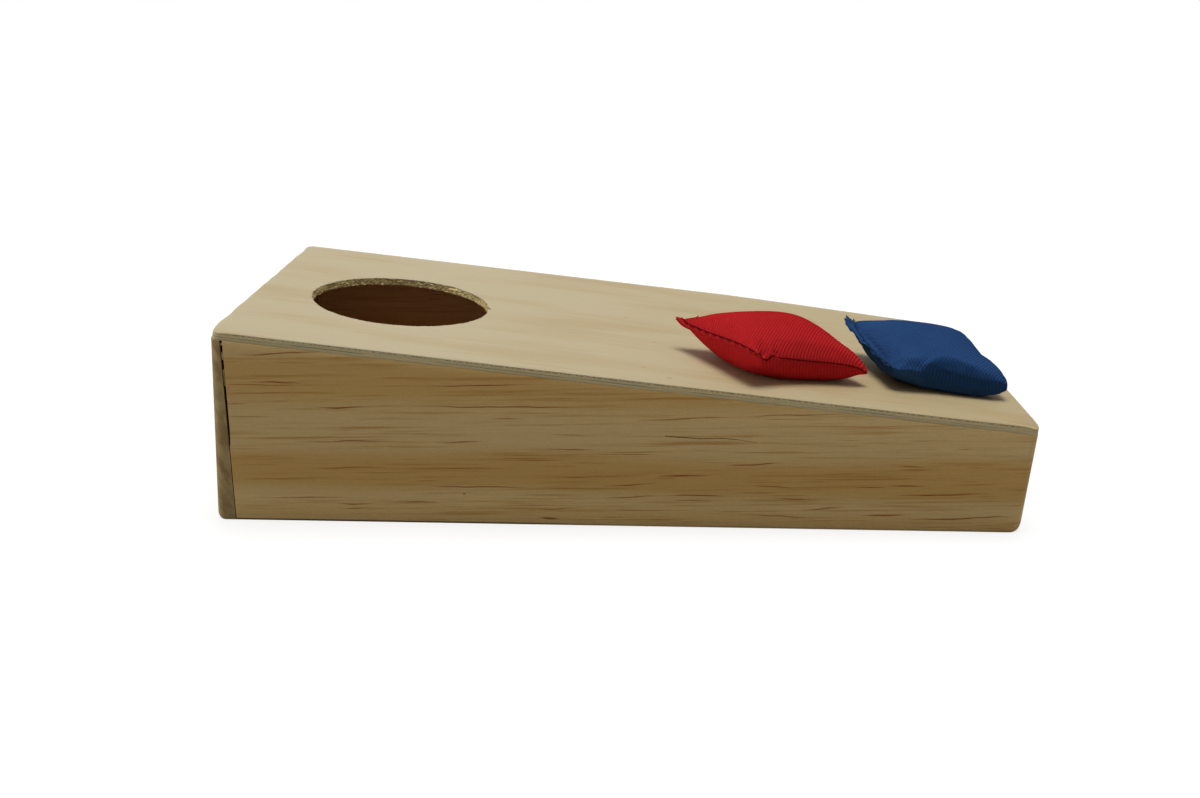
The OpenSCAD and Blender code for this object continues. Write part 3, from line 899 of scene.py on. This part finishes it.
RED = Bag(
    colour="red", middle=(208.36, -36), turn=20, skew=12.5, lifts=(12, 11, 13.5, 6), rounds=(30, 40, 30, 9),
    crown=7.7, belly=14, bulk=0.5, draw=3.5, short=0, flap=0.9, ruffle=0.1, wall=0, plain_seams=True,
    widths=[(-1, 0.3), (-0.95, 1.2), (-0.88, 1.8), (0.75, 1.9), (0.98, 2.3), (1.04, 2.2)],
    droops=[(-1, 74), (0.75, 66), (0.9, 10), (1, -8)],
    cloth=Cloth(
        (0.5, 0.02, 0.023), (0.41, 0.014, 0.016), (0.56, 0.03, 0.03), 0.15,
        [((0.74, -0.74), 0.8), ((0.74, 0.74), 0.2)], 1, 1,
    ),
    threads=[(0.075, 0.004, 0.005), (0.12, 0.008, 0.008)],
    ends=[(0.42, 0.07, 0.02), (0.5, 0.14, 0.04)],
    shifts=[
        (-0.885, -1, 0.055, 0.12, (0, 0, -1.7)),
        (-0.8, -1, 0.055, 0.12, (0, 0, -1.7)),
        (-0.66, -1, 0.07, 0.1, (0, 0, 0.6)),
        (1, -1, 0.13, 0.15, (1.1, 0, -1.6)),
        (-1, 1, 0.16, 0.16, (0, 0, 0.6)),
        (-0.8, 1, 0.12, 0.25, (0, 0, -0.7)),
        (-1, -0.65, 0.25, 0.75, (0, 0, 1.7)),
        (0.55, -1, 0.4, 0.3, (0, 0, 0.9)),
    ],
    presses=[
        ("bottom", -0.8, -0.93, 2.2, 1.6, 0, 0.8),
        ("top", -0.61, -0.98, 1.2, 1.1, 0, -1.1),
        ("top", -0.87, -0.96, 1.8, 0.8, 20, -0.9),
        ("top", 0.55, 0.15, 11, 16, 0, 0.5),
        ("top", 0.78, -0.72, 7, 5, 0, 0.6),
    ],
    folds=[],
    loose=[
        ((-1, -1), (-0.8, 0.4, 0.3), (0.5, -0.5, -0.9), (0.3, 0, 0.6)),
        ((-1, -1), (-0.8, 0.9, 0.5), (0.9, -0.3, -0.3), (0, 0, -0.5)),
        ((-1, 1), (0.3, -0.9, 0.5), (-1, -0.6, 0.3), (0.4, 0, 0.3)),
        ((-0.88, 0.78), (0, 0, -0.1), (0.3, 0, 0.9), (0.3, 0, 0.2)),
        ((-0.88, 0.78), (0.4, 0, -0.1), (0.9, 0, 0.4), (0.2, 0, 0.1)),
    ],
)
BLUE = Bag(
    colour="blue", middle=(269.87, -23.5), turn=2, skew=10, lifts=(7, 12.6, 13, 5), rounds=(30, 30, 14, 9),
    crown=6.4, belly=10.5, bulk=0.46, draw=0.5, short=0.13, flap=0.8, ruffle=0.8, wall=1, plain_seams=False,
    widths=[
        (-1, 0.7), (-0.72, 1.2), (-0.45, 0.5), (-0.2, 1.3), (-0.07, 0.5), (0.2, 2), (0.4, 1.7),
        (0.7, 2.6), (0.95, 3.6), (1.03, 3.2),
    ],
    droops=[(-1, 35), (0, 25), (0.45, 5), (0.8, -8), (1, -28)],
    cloth=Cloth(
        (0.0275, 0.073, 0.198), (0.014, 0.045, 0.128), (0.04, 0.1, 0.25), 0.14,
        [((0.74, -0.74), 0.5), ((0.72, 0.27), 0.5)], 0.15, 0.35,
    ),
    threads=[(0.012, 0.035, 0.09), (0.025, 0.06, 0.13)],
    ends=[(0.02, 0.05, 0.12), (0.03, 0.08, 0.18)],
    shifts=[
        (0.35, -1, 0.5, 0.3, (0, 0, -2.8)),
        (-0.75, -1, 0.42, 0.35, (0, 0, 2.2)),
        (1, -1, 0.15, 0.2, (-0.6, 0, -0.9)),
    ],
    presses=[
        ("top", -0.72, 0.8, 8, 5, 0, -0.6),
        ("top", 0.2, -0.84, 13, 4, -4, 1.9),
        ("top", -0.76, -0.84, 6, 2, -15, 0.8),
        ("top", 0.8, -0.12, 7, 4, 70, -0.8),
        ("bottom", -0.92, 0.1, 20, 3, 90, 2),
    ],
    folds=[
        ([(-0.38, -0.93), (-0.18, -0.78), (0.03, -0.79), (0.31, -0.85)], 1.5, 0.9),
        ([(-0.58, -0.97), (-0.45, -0.86), (-0.3, -0.72)], 1.1, -0.35),
    ],
    loose=[
        ((-1, 0.97), (0, 0, 0.2), (-0.4, 0.2, 1), (-0.3, 0, 0.1)),
        ((-1, 0.97), (0.2, 0, 0.2), (0.2, 0.2, 1.2), (0.3, 0, 0.1)),
        ((-1, 0.97), (0.4, 0, 0.2), (0.7, 0, 0.6), (0.2, 0, 0.2)),
    ],
)

# A bag's steep near side: where it starts, its slant, how soft that start is, and how far in its foot is
WALL_FROM = -0.50
WALL_SLANT = 0.9
WALL_SOFT = 0.07
WALL_IN = 1.3
WALL_FOOT = 0.04


def room(t):
    """1 in the middle of a bag and 0 at its seams."""
    return np.clip(1 - t * t, 0, 1)


def bag_ways(bag):
    """A bag's own directions on the deck, from the closing seam to the far side and along that seam."""
    turns = [math.radians(bag.turn), math.radians(bag.turn + 90 + bag.skew)]
    return [np.array([math.cos(turn), math.sin(turn), 0]) for turn in turns]


def seam_sheet(bag, u, v):
    """The sheet that a bag's seams lie in, for u and v from -1 to 1: points (s, y, h) and places in it."""
    front, left, back, right = bag.rounds
    power = np.where(u < 0, np.where(v < 0, front, left), np.where(v < 0, right, back))
    widest = np.maximum(np.maximum(abs(u), abs(v)), 1e-6)
    blunt = np.maximum((abs(u) / widest) ** power + (abs(v) / widest) ** power, 1) ** (-1 / power)
    blunt = 1 - (1 - blunt) * widest**6
    u = (u * blunt) * (1 - bag.short / 2) + bag.short / 2
    v = v * blunt
    along = u * (1 - CLOSING_DRAW / HALF_SIDE * room(v)) * HALF_SIDE
    across = v * (1 - bag.draw / HALF_SIDE * room(u)) * HALF_SIDE
    front, left, back, right = bag.lifts
    near = front * (1 - v) / 2 + left * (1 + v) / 2
    far = right * (1 - v) / 2 + back * (1 + v) / 2
    way_u, way_v = bag_ways(bag)
    sheet = np.array([*bag.middle, 0]) + along[..., None] * way_u + across[..., None] * way_v
    sheet[..., 2] = near * (1 - u) / 2 + far * (1 + u) / 2
    return sheet, np.stack([along, across, np.zeros_like(u)], axis=-1)


def shifts(bag, u, v):
    """How far the whole bag, seam and all, is pushed along s, y and h at each place."""
    total = np.zeros(u.shape + (3,))
    for place_u, place_v, reach_u, reach_v, way in bag.shifts:
        share = np.exp(-(((u - place_u) / reach_u) ** 2) - ((v - place_v) / reach_v) ** 2)
        total += share[..., None] * np.array(way)
    return total


def bag_panels(bag):
    """Places in the cloth and the outsides of both panels, on a grid that is finer at the seams."""
    u, v = GRID_U, GRID_V
    sheet, cloth = seam_sheet(bag, u, v)
    swell = np.sqrt(room(u) * room(v))
    shift = shifts(bag, u, v)
    start = u - WALL_FROM + WALL_SLANT * (v + 1)
    steep = bag.wall * np.clip(-v, 0, 1) / (1 + np.exp(-start / WALL_SOFT))
    sheet[..., 1] += WALL_IN * steep * np.exp(-(((v + 1) / WALL_FOOT) ** 2))
    sheet[..., :2] += shift[..., :2]
    top = sheet.copy()
    top[..., 2] += (bag.crown + SEAM_REACH) * swell ** (2 * bag.bulk * (1 - 0.5 * steep))
    top[..., 2] += shift[..., 2] * (1 - 0.7 * swell)
    bottom = sheet.copy()
    low = sheet[..., 2] - (bag.belly + SEAM_REACH) * swell
    low += shift[..., 2] * np.clip(1 - 1.6 * swell, 0, 1)
    low -= REST_H
    bottom[..., 2] = REST_H + (low + np.sqrt(low * low + REST_SOFT)) / 2
    return cloth, top, bottom


def closed_bag(bag):
    """Both panels as one closed form: points, faces, places in the cloth and each panel's grid."""
    upper, top, bottom = bag_panels(bag)
    size = GRID + 1
    inner = (slice(1, -1), slice(1, -1))
    grid = np.arange(size * size).reshape(size, size)
    panels = {"top": grid, "bottom": grid.copy()}
    panels["bottom"][inner] = size * size + np.arange((size - 2) ** 2).reshape(size - 2, size - 2)
    points = np.concatenate([top.reshape(-1, 3), bottom[inner].reshape(-1, 3)])
    lower = upper[inner] + (0, 0, 1)
    cloth = np.concatenate([upper.reshape(-1, 3), lower.reshape(-1, 3)])
    faces = []
    for index in panels.values():
        corners = [index[:-1, :-1], index[1:, :-1], index[1:, 1:], index[:-1, 1:]]
        faces += list(np.stack(corners, axis=-1).reshape(-1, 4))
    return points, faces, cloth, panels


# The cloth is blown up on a copy ten times the size, and no point may move further than the cap
SIM_SCALE = 10.0
SIM_FRAMES = 20
SIM_CAP = 0.5
SIM_SETTINGS = {
    "quality": 6, "mass": 0.3, "vertex_group_mass": "held", "shrink_min": -0.012,
    "tension_stiffness": 20, "compression_stiffness": 20, "shear_stiffness": 8, "bending_stiffness": 1.5,
    "use_pressure": True, "uniform_pressure_force": 4.0,
}


def blown_up(points, faces, pinned):
    """The points after the cloth, grown a little, has been blown up with some of them held."""
    piece = new_object("cloth", new_mesh(points * SIM_SCALE, faces))
    piece.vertex_groups.new(name="held").add([int(i) for i in pinned], 1.0, "REPLACE")
    cloth = piece.modifiers.new("cloth", "CLOTH")
    for key, value in SIM_SETTINGS.items():
        setattr(cloth.settings, key, value)
    cloth.settings.effector_weights.gravity = 0
    cloth.collision_settings.use_collision = False
    cloth.point_cache.frame_start = 1
    cloth.point_cache.frame_end = SIM_FRAMES
    for step in range(1, SIM_FRAMES + 1):
        bpy.context.scene.frame_set(step)
    result = np.array([v.co[:] for v in applied(piece).vertices]) / MM / SIM_SCALE
    bpy.data.objects.remove(piece)
    bpy.context.scene.frame_set(1)
    move = result - points
    far = np.linalg.norm(move, axis=1)[:, None]
    return points + move * np.clip(SIM_CAP / np.maximum(far, 1e-6), None, 1)


# How far the seams are drawn in, and the row of points beside them on both panels
SEAM_DEPTH = 0.5
BESIDE_DEPTH = 0.12


def seam_grooves(bag, points, panels):
    """Draws the seams in, so that the two panels bulge on both sides of them."""
    middle = np.array([*bag.middle, np.mean(bag.lifts)])
    rows = [("bottom", 0, SEAM_DEPTH), ("top", 1, BESIDE_DEPTH), ("bottom", 1, BESIDE_DEPTH)]
    for panel, row, depth in rows:
        index = panels[panel]
        for ids in (index[GRID - row, 1:-1], index[1:-1, row], index[1:-1, GRID - row]):
            points[ids] += unit(middle - points[ids]) * depth


def sculpt(bag, points, panels):
    """Presses the bumps, dents and folds into a bag."""
    for panel, u, v, length, width, way, out in bag.presses:
        index = panels[panel]
        out *= 1 if panel == "top" else -1
        du = (GRID_U - u) * HALF_SIDE
        dv = (GRID_V - v) * HALF_SIDE
        way = math.radians(way)
        along = (du * math.cos(way) + dv * math.sin(way)) / length
        across = (dv * math.cos(way) - du * math.sin(way)) / width
        grid = points[index]
        normal = unit(np.cross(np.gradient(grid, axis=0), np.gradient(grid, axis=1)))
        points[index] = grid + normal * (out * np.exp(-(along**2 + across**2)))[..., None]
    for places, width, out in bag.folds:
        points[panels["top"], 2] += out * np.exp(-((fold_distance(places) / width) ** 2))


def fold_distance(places):
    """How far each point of the grid is from the line through some places, in millimetres of cloth."""
    nearest = np.full(GRID_U.shape, np.inf)
    for (u0, v0), (u1, v1) in zip(places[:-1], places[1:]):
        du = u1 - u0
        dv = v1 - v0
        along = np.clip(((GRID_U - u0) * du + (GRID_V - v0) * dv) / (du**2 + dv**2), 0, 1)
        off = np.hypot(GRID_U - u0 - along * du, GRID_V - v0 - along * dv)
        nearest = np.minimum(nearest, off * HALF_SIDE)
    return nearest


# The folded near side, which gets painted shade, is past this place across the cloth. Two lines bound it, by
# their slope and start
FOLD_EDGE = -18.5
FOLD_FULL = -21.0
FOLD_SIDES = [(0.22, -0.44), (-0.62, -2.8)]


def in_shaded_fold(along, across):
    """How much a point of the cloth lies in a bag's near side, which is folded down and painted in shade."""
    for slope, start in FOLD_SIDES:
        across += along.math("MULTIPLY_ADD", slope, start).most(0.0)
    return across.ramp(FOLD_EDGE, FOLD_FULL)


def cloth_material(bag):
    """Plain-woven cloth, with painted shade where the near side folds down.

    The points' cloth_mm says where they lie in the cloth, and its third number is 1 on the bottom panel."""
    look = bag.cloth
    shader = Shader(bag.colour + "_cloth")
    coords = shader.value("Attribute", output="Vector", attribute_name="cloth_mm")
    along, across, below = shader.split(coords)
    bent = shader.value("TexNoise", {"Vector": coords, "Scale": 0.12, "Detail": 2.0}, "Color")
    bent = shader.value("VectorMath", {0: bent, 1: (0.9, 0.9, 0)}, operation="MULTIPLY")
    coords = shader.value("VectorMath", {0: coords, 1: bent}, operation="ADD")
    weave = 0.0
    for (cycles_u, cycles_v), share in look.ribs:
        wave = {0: coords, 1: (2 * math.pi * cycles_u, 2 * math.pi * cycles_v, 0)}
        phase = shader.value("VectorMath", wave, "Value", operation="DOT_PRODUCT")
        weave = phase.math("SINE").math("MULTIPLY_ADD", share, weave)
    fuzz = shader.grain((0.35, 0.35, 0.35))
    tight_and_shaded = in_shaded_fold(along, across)
    weave *= along.ramp(-HALF_SIDE, -HALF_SIDE * 0.3).vary(look.at_hem, 1.0)
    weave *= tight_and_shaded.vary(1.0, look.in_folds)
    # Painted shade: the folded near side is made darker, as it faces away from the light
    light = weave.math("MULTIPLY_ADD", 0.5, tight_and_shaded.vary(0.5, 0.1 + 0.4 * look.in_folds))
    colour = light.ramp(0.05, 0.75).mix(look.deep, look.base)
    colour = (fuzz.ramp(0.62, 0.8) * 0.15).mix(colour, look.fray)
    colour = (fuzz + shader.grain((14, 14, 14))).shade(colour, 0.88, 1.12)
    height = fuzz.math("MULTIPLY_ADD", 0.4, weave) * below.vary(1.0, 0.2)
    return shader.surface(colour, height, look.depth, 0.8, 0.0)


def thread_material(name, colour, fray):
    """Twisted sewing thread."""
    shader = Shader(name)
    twist = shader.grain((0.5, 0.5, 0.12))
    return shader.surface(twist.ramp(0.35, 0.65).mix(colour, fray), twist, 0.05, 0.8, 0.0)


PELLET_PALE = (0.70, 0.65, 0.52)
PELLET_DARK = (0.62, 0.55, 0.42)


def pellet_material():
    """Smooth resin pellets, a little cloudy."""
    shader = Shader("pellets")
    clouds = shader.grain((3, 3, 3))
    return shader.surface(clouds.ramp(0.3, 0.7).mix(PELLET_PALE, PELLET_DARK), clouds, 0.05, 0.35, 0.4)


def add_bag_piece(bag, part, mesh, material, nodes=()):
    """A piece of a bag, of its cloth or thread, which stands for nodes of the model."""
    body = bag.colour + "_bag"
    nodes = [f"{body}_{node}" for node in nodes]
    return add_piece(f"{body}_{part}", mesh, body, material, nodes, DECK_FRAME)


def place_in_cloth(mesh, places):
    """Stores where a mesh's points lie in the cloth."""
    attribute = mesh.attributes.new("cloth_mm", "FLOAT_VECTOR", "POINT")
    attribute.data.foreach_set("vector", np.array(places, np.float32).ravel())


REST_NEAR = 0.35


def make_cloth(bag, material):
    """The bag itself, one closed piece of cloth. Returns the points of its top."""
    points, faces, cloth, panels = closed_bag(bag)
    top, bottom = panels.values()
    seam = np.concatenate([top[0], top[-1], top[:, 0], top[:, -1]])
    resting = bottom[points[bottom][..., 2] < REST_H + REST_NEAR]
    points = blown_up(points, faces, np.union1d(seam, resting))
    points[:, 2] = np.maximum(points[:, 2], REST_H)
    sculpt(bag, points, panels)
    if bag.plain_seams:
        seam_grooves(bag, points, panels)
    mesh = new_mesh(points, faces)
    place_in_cloth(mesh, cloth)
    piece = add_bag_piece(bag, "cloth", mesh, material, ["top_panel", "bottom_panel"])
    piece.modifiers.new("round", "SUBSURF").levels = 1
    bake(piece)
    return points[top]


HEM_LAYER = 0.42
HEM_STEPS = 120
HEM_FIRST = -0.99
HEM_CORNER = 0.985
HEM_SHARES = np.linspace(-0.2, 1.0, 7)


def hem_frame(bag, top):
    """The closing seam's places and points and, at each, the way out of the bag and the way across the hem.

    At its far end the hem runs on past the bag's corner by the length of the flap."""
    v = np.linspace(HEM_FIRST, HEM_CORNER + bag.flap / HALF_SIDE, HEM_STEPS)
    root = np.column_stack([np.interp(np.minimum(v, HEM_CORNER), GRID_LINE, top[0][:, k]) for k in range(3)])
    way_u, way_v = bag_ways(bag)
    root += np.outer(np.clip(v - HEM_CORNER, 0, None) * HALF_SIDE, way_v)
    droop = np.radians(np.interp(v, *zip(*bag.droops)))[:, None]
    return v, root, -way_u * np.cos(droop) - UP * np.sin(droop), -way_u * np.sin(droop) + UP * np.cos(droop)


def hem_layer(bag, top, layer):
    """One of the two layers of cloth that stand out past the closing seam: points, faces and places."""
    v, root, out, over = hem_frame(bag, top)
    widths = np.interp(v, *zip(*bag.widths))
    rings = []
    cloth = []
    for i, t in enumerate(v):
        ragged = ripple(t * 9, bag.turn, layer * 2.0) + 0.6 * ripple(t * 34, 3, layer)
        width = widths[i] * (1 + 0.16 * ragged) - 0.1 * layer
        wave = bag.ruffle * (math.sin(t * 13 + 1.1) * 0.6 + ripple(t * 5, bag.turn, layer * 1.5))
        middle = HEM_LAYER * (0.6 - 1.2 * layer)
        ring = []
        for side in (1, -1):
            for share in HEM_SHARES[::side]:
                past = max(share, 0)
                lift = middle + wave * past**1.3 - 0.2 * layer * past + side * HEM_LAYER / 2
                ring.append(root[i] + out[i] * width * share + over[i] * lift)
                cloth.append((-HALF_SIDE - width * share, t * HALF_SIDE, 0))
        rings.append(ring)
    return *capped(rings), cloth


def make_hem(bag, top, material):
    """The two layers of the hem as one piece, with ragged edges."""
    layers = [hem_layer(bag, top, layer) for layer in (0, 1)]
    mesh = new_mesh(*joined([layer[:2] for layer in layers]))
    place_in_cloth(mesh, layers[0][2] + layers[1][2])
    add_bag_piece(bag, "hem", mesh, material)


STITCH_L = 3.0
STITCH_GAP = 1.7
STITCH_POINTS = 7
STITCH_BOW = 0.2
STITCH_SINK = 0.08
STITCH_FROM = 1.2
STITCH_TO = 1.0
THREAD_R = 0.23
SEAM_SHADE_R = 0.2
TUCK_SHADE_R = 0.3
CREASE_SHADE_R = 0.16
LOOSE_R = 0.22
LOOSE_POINTS = 8


def make_stitches(bag, top, material):
    """The closing seam's stitches, each a short bowed thread, and dark threads laid in the creases of the
    closing seam and the other seams, as painted shade of these creases.
    """
    v, root, out, over = hem_frame(bag, top)
    crease = root + over * HEM_LAYER * 1.1
    line = root + out * 0.3 + over * (HEM_LAYER * 1.1 + 0.12)
    length = np.concatenate([[0], np.cumsum(np.linalg.norm(np.diff(line, axis=0), axis=1))])
    bow = np.sin(np.linspace(0, math.pi, STITCH_POINTS)) * STITCH_BOW - STITCH_SINK
    parts = []
    start = STITCH_FROM
    while start + STITCH_L < length[-1] - STITCH_TO:
        at = start + np.linspace(0, STITCH_L, STITCH_POINTS)
        points = np.column_stack([np.interp(at, length, line[:, k]) for k in range(3)])
        points += over[np.argmin(abs(length - at[STITCH_POINTS // 2]))] * bow[:, None]
        parts.append(tube(points, THREAD_R, sides=8, flat=0.7))
        start += STITCH_L + STITCH_GAP
    # Painted shade: a dark thread along the closing seam's crease
    parts.append(tube(crease[2:-4], CREASE_SHADE_R))
    # Painted shade: dark threads along the other seams and the tucked corner, where their creases fall in
    # shade
    if bag.plain_seams:
        for side in (top[6:, 0], top[:, -1], top[-1, :]):
            parts.append(tube(side[1:-1], SEAM_SHADE_R))
        parts.append(tube(top[4:20, 0], TUCK_SHADE_R))
    add_bag_piece(bag, "stitches", new_mesh(*joined(parts)), material, ["closing_thread"])


def make_loose_threads(bag, top, material):
    """The thread's ends and frayed threads at the corners."""
    parts = []
    steps = np.linspace(0, 1, LOOSE_POINTS)[:, None]
    for (u, v), offset, way, bend in bag.loose:
        start = top[np.argmin(abs(GRID_LINE - u)), np.argmin(abs(GRID_LINE - v))] + np.array(offset)
        parts.append(tube(start + np.array(way) * steps + np.array(bend) * steps**2, LOOSE_R))
    add_bag_piece(bag, "loose_threads", new_mesh(*joined(parts)), material)


PELLETS_DRAWN = 0.86
PELLETS_LOWERED = 0.92


def make_pellets(bag, material):
    """The model's pellets, drawn together so that they stay inside the cloth's real form."""
    body = bag.colour + "_bag"
    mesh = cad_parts[body + "_fill"].data.copy()
    middle = Vector((bag.middle[0] + bag.short * HALF_SIDE / 2, bag.middle[1], 0)) * MM
    draw = Matrix.Diagonal((PELLETS_DRAWN, PELLETS_DRAWN, PELLETS_LOWERED, 1))
    to_middle = DECK_FRAME @ Matrix.Translation(middle)
    mesh.transform(to_middle @ draw @ to_middle.inverted())
    add_piece(body + "_pellets", mesh, body, material, [body + "_fill"])


def make_bags():
    pellets = pellet_material()
    for bag in (RED, BLUE):
        cloth = cloth_material(bag)
        top = make_cloth(bag, cloth)
        make_hem(bag, top, cloth)
        make_stitches(bag, top, thread_material(bag.colour + "_thread", *bag.threads))
        make_loose_threads(bag, top, thread_material(bag.colour + "_thread_ends", *bag.ends))
        make_pellets(bag, pellets)


make_camera()
make_suns()
make_world()
make_floor()
make_deck()
make_boards()
make_joint_glue()
make_bags()

bpy.context.scene.view_settings.view_transform = "Standard"
